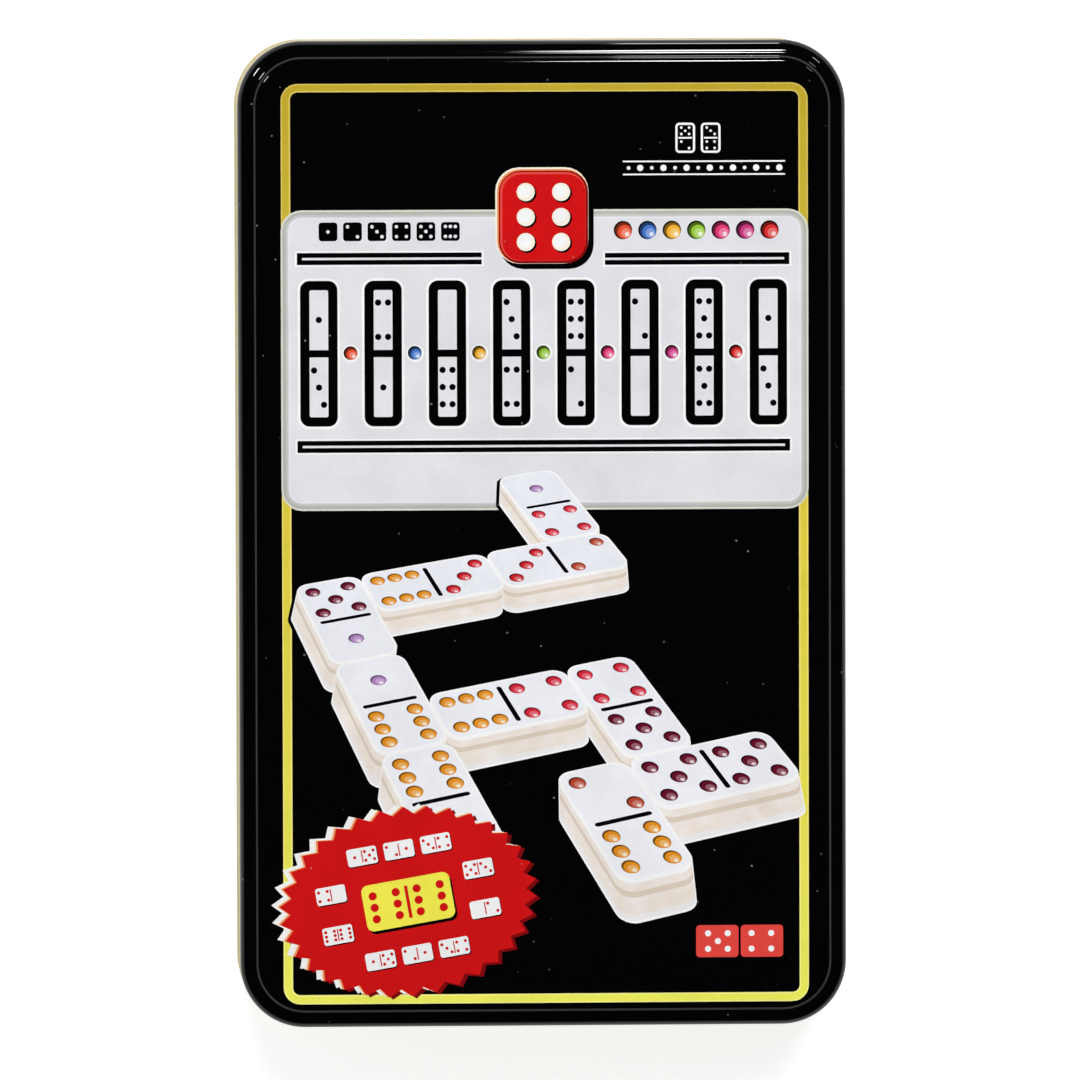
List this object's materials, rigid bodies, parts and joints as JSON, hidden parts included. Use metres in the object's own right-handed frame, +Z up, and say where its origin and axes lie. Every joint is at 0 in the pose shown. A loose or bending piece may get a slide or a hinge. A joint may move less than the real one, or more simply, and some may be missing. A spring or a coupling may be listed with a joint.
{
  "type": "domino storage tin",
  "caption": "Flat rounded tin with a lift-off lid, a moulded tray, a set of dominoes in two layers and a folded leaflet.",
  "frame": {"origin": "on the table plane, under the middle of the base", "axes": "+Z up out of the lid, +Y along the long side to the end that is up in the picture, +X to the right"},
  "size_m": [0.117, 0.19, 0.028],
  "materials": {
    "gold_tinplate": "gold lacquer, satin gloss",
    "black_tinplate": "black lacquer, high gloss",
    "tray_plastic": "thin black formed sheet, gloss",
    "leaflet_paper": "uncoated, matt",
    "tile_plastic": "polished, white to ivory"
  },
  "bodies": {
    "base": {"base_tin": "gold_tinplate"},
    "lid": {"lid": "black_tinplate"},
    "leaflet": {"leaflet": "leaflet_paper"},
    "tray": {"tray": "tray_plastic"},
    "tile_0_0": {"tile_0_0": "tile_plastic"},
    "tile_0_1": {"tile_0_1": "tile_plastic"},
    "tile_0_2": {"tile_0_2": "tile_plastic"},
    "tile_0_3": {"tile_0_3": "tile_plastic"},
    "tile_0_4": {"tile_0_4": "tile_plastic"},
    "tile_0_5": {"tile_0_5": "tile_plastic"},
    "tile_0_6": {"tile_0_6": "tile_plastic"},
    "tile_1_1": {"tile_1_1": "tile_plastic"},
    "tile_1_2": {"tile_1_2": "tile_plastic"},
    "tile_1_3": {"tile_1_3": "tile_plastic"},
    "tile_1_4": {"tile_1_4": "tile_plastic"},
    "tile_1_5": {"tile_1_5": "tile_plastic"},
    "tile_1_6": {"tile_1_6": "tile_plastic"},
    "tile_2_2": {"tile_2_2": "tile_plastic"},
    "tile_2_3": {"tile_2_3": "tile_plastic"},
    "tile_2_4": {"tile_2_4": "tile_plastic"},
    "tile_2_5": {"tile_2_5": "tile_plastic"},
    "tile_2_6": {"tile_2_6": "tile_plastic"},
    "tile_3_3": {"tile_3_3": "tile_plastic"},
    "tile_3_4": {"tile_3_4": "tile_plastic"},
    "tile_3_5": {"tile_3_5": "tile_plastic"},
    "tile_3_6": {"tile_3_6": "tile_plastic"},
    "tile_4_4": {"tile_4_4": "tile_plastic"},
    "tile_4_5": {"tile_4_5": "tile_plastic"},
    "tile_4_6": {"tile_4_6": "tile_plastic"},
    "tile_5_5": {"tile_5_5": "tile_plastic"},
    "tile_5_6": {"tile_5_6": "tile_plastic"},
    "tile_6_6": {"tile_6_6": "tile_plastic"}
  },
  "joints": [
    {"name": "lid_lift", "type": "slide", "parent": "base", "child": "lid", "axis": [0, 0, 1], "range_m": [0, 0.14]},
    {"name": "leaflet_lift", "type": "slide", "parent": "base", "child": "leaflet", "axis": [0, 0, 1], "range_m": [0, 0.112]},
    {"name": "tray_lift", "type": "slide", "parent": "base", "child": "tray", "axis": [0, 0, 1], "range_m": [0, 0.035]},
    {"name": "tile_0_0_lift", "type": "slide", "parent": "tray", "child": "tile_0_0", "axis": [0, 0, 1], "range_m": [0, 0.035]},
    {"name": "tile_0_1_lift", "type": "slide", "parent": "tray", "child": "tile_0_1", "axis": [0, 0, 1], "range_m": [0, 0.035]},
    {"name": "tile_0_2_lift", "type": "slide", "parent": "tray", "child": "tile_0_2", "axis": [0, 0, 1], "range_m": [0, 0.035]},
    {"name": "tile_0_3_lift", "type": "slide", "parent": "tray", "child": "tile_0_3", "axis": [0, 0, 1], "range_m": [0, 0.035]},
    {"name": "tile_0_4_lift", "type": "slide", "parent": "tray", "child": "tile_0_4", "axis": [0, 0, 1], "range_m": [0, 0.035]},
    {"name": "tile_0_5_lift", "type": "slide", "parent": "tray", "child": "tile_0_5", "axis": [0, 0, 1], "range_m": [0, 0.035]},
    {"name": "tile_0_6_lift", "type": "slide", "parent": "tray", "child": "tile_0_6", "axis": [0, 0, 1], "range_m": [0, 0.035]},
    {"name": "tile_1_1_lift", "type": "slide", "parent": "tray", "child": "tile_1_1", "axis": [0, 0, 1], "range_m": [0, 0.035]},
    {"name": "tile_1_2_lift", "type": "slide", "parent": "tray", "child": "tile_1_2", "axis": [0, 0, 1], "range_m": [0, 0.035]},
    {"name": "tile_1_3_lift", "type": "slide", "parent": "tray", "child": "tile_1_3", "axis": [0, 0, 1], "range_m": [0, 0.035]},
    {"name": "tile_1_4_lift", "type": "slide", "parent": "tray", "child": "tile_1_4", "axis": [0, 0, 1], "range_m": [0, 0.035]},
    {"name": "tile_1_5_lift", "type": "slide", "parent": "tray", "child": "tile_1_5", "axis": [0, 0, 1], "range_m": [0, 0.035]},
    {"name": "tile_1_6_lift", "type": "slide", "parent": "tray", "child": "tile_1_6", "axis": [0, 0, 1], "range_m": [0, 0.035]},
    {"name": "tile_2_2_lift", "type": "slide", "parent": "tray", "child": "tile_2_2", "axis": [0, 0, 1], "range_m": [0, 0.035]},
    {"name": "tile_2_3_lift", "type": "slide", "parent": "tray", "child": "tile_2_3", "axis": [0, 0, 1], "range_m": [0, 0.056]},
    {"name": "tile_2_4_lift", "type": "slide", "parent": "tray", "child": "tile_2_4", "axis": [0, 0, 1], "range_m": [0, 0.056]},
    {"name": "tile_2_5_lift", "type": "slide", "parent": "tray", "child": "tile_2_5", "axis": [0, 0, 1], "range_m": [0, 0.056]},
    {"name": "tile_2_6_lift", "type": "slide", "parent": "tray", "child": "tile_2_6", "axis": [0, 0, 1], "range_m": [0, 0.056]},
    {"name": "tile_3_3_lift", "type": "slide", "parent": "tray", "child": "tile_3_3", "axis": [0, 0, 1], "range_m": [0, 0.056]},
    {"name": "tile_3_4_lift", "type": "slide", "parent": "tray", "child": "tile_3_4", "axis": [0, 0, 1], "range_m": [0, 0.056]},
    {"name": "tile_3_5_lift", "type": "slide", "parent": "tray", "child": "tile_3_5", "axis": [0, 0, 1], "range_m": [0, 0.056]},
    {"name": "tile_3_6_lift", "type": "slide", "parent": "tray", "child": "tile_3_6", "axis": [0, 0, 1], "range_m": [0, 0.056]},
    {"name": "tile_4_4_lift", "type": "slide", "parent": "tray", "child": "tile_4_4", "axis": [0, 0, 1], "range_m": [0, 0.056]},
    {"name": "tile_4_5_lift", "type": "slide", "parent": "tray", "child": "tile_4_5", "axis": [0, 0, 1], "range_m": [0, 0.056]},
    {"name": "tile_4_6_lift", "type": "slide", "parent": "tray", "child": "tile_4_6", "axis": [0, 0, 1], "range_m": [0, 0.056]},
    {"name": "tile_5_5_lift", "type": "slide", "parent": "tray", "child": "tile_5_5", "axis": [0, 0, 1], "range_m": [0, 0.056]},
    {"name": "tile_5_6_lift", "type": "slide", "parent": "tray", "child": "tile_5_6", "axis": [0, 0, 1], "range_m": [0, 0.056]},
    {"name": "tile_6_6_lift", "type": "slide", "parent": "tray", "child": "tile_6_6", "axis": [0, 0, 1], "range_m": [0, 0.056]}
  ],
  "couplings": [
    {"joint": "leaflet_lift", "follows": "lid_lift", "ratio": 0.8},
    {"joint": "tray_lift", "follows": "lid_lift", "ratio": 0.25},
    {"joint": "tile_0_0_lift", "follows": "lid_lift", "ratio": 0.25},
    {"joint": "tile_0_1_lift", "follows": "lid_lift", "ratio": 0.25},
    {"joint": "tile_0_2_lift", "follows": "lid_lift", "ratio": 0.25},
    {"joint": "tile_0_3_lift", "follows": "lid_lift", "ratio": 0.25},
    {"joint": "tile_0_4_lift", "follows": "lid_lift", "ratio": 0.25},
    {"joint": "tile_0_5_lift", "follows": "lid_lift", "ratio": 0.25},
    {"joint": "tile_0_6_lift", "follows": "lid_lift", "ratio": 0.25},
    {"joint": "tile_1_1_lift", "follows": "lid_lift", "ratio": 0.25},
    {"joint": "tile_1_2_lift", "follows": "lid_lift", "ratio": 0.25},
    {"joint": "tile_1_3_lift", "follows": "lid_lift", "ratio": 0.25},
    {"joint": "tile_1_4_lift", "follows": "lid_lift", "ratio": 0.25},
    {"joint": "tile_1_5_lift", "follows": "lid_lift", "ratio": 0.25},
    {"joint": "tile_1_6_lift", "follows": "lid_lift", "ratio": 0.25},
    {"joint": "tile_2_2_lift", "follows": "lid_lift", "ratio": 0.25},
    {"joint": "tile_2_3_lift", "follows": "lid_lift", "ratio": 0.4},
    {"joint": "tile_2_4_lift", "follows": "lid_lift", "ratio": 0.4},
    {"joint": "tile_2_5_lift", "follows": "lid_lift", "ratio": 0.4},
    {"joint": "tile_2_6_lift", "follows": "lid_lift", "ratio": 0.4},
    {"joint": "tile_3_3_lift", "follows": "lid_lift", "ratio": 0.4},
    {"joint": "tile_3_4_lift", "follows": "lid_lift", "ratio": 0.4},
    {"joint": "tile_3_5_lift", "follows": "lid_lift", "ratio": 0.4},
    {"joint": "tile_3_6_lift", "follows": "lid_lift", "ratio": 0.4},
    {"joint": "tile_4_4_lift", "follows": "lid_lift", "ratio": 0.4},
    {"joint": "tile_4_5_lift", "follows": "lid_lift", "ratio": 0.4},
    {"joint": "tile_4_6_lift", "follows": "lid_lift", "ratio": 0.4},
    {"joint": "tile_5_5_lift", "follows": "lid_lift", "ratio": 0.4},
    {"joint": "tile_5_6_lift", "follows": "lid_lift", "ratio": 0.4},
    {"joint": "tile_6_6_lift", "follows": "lid_lift", "ratio": 0.4}
  ]
}
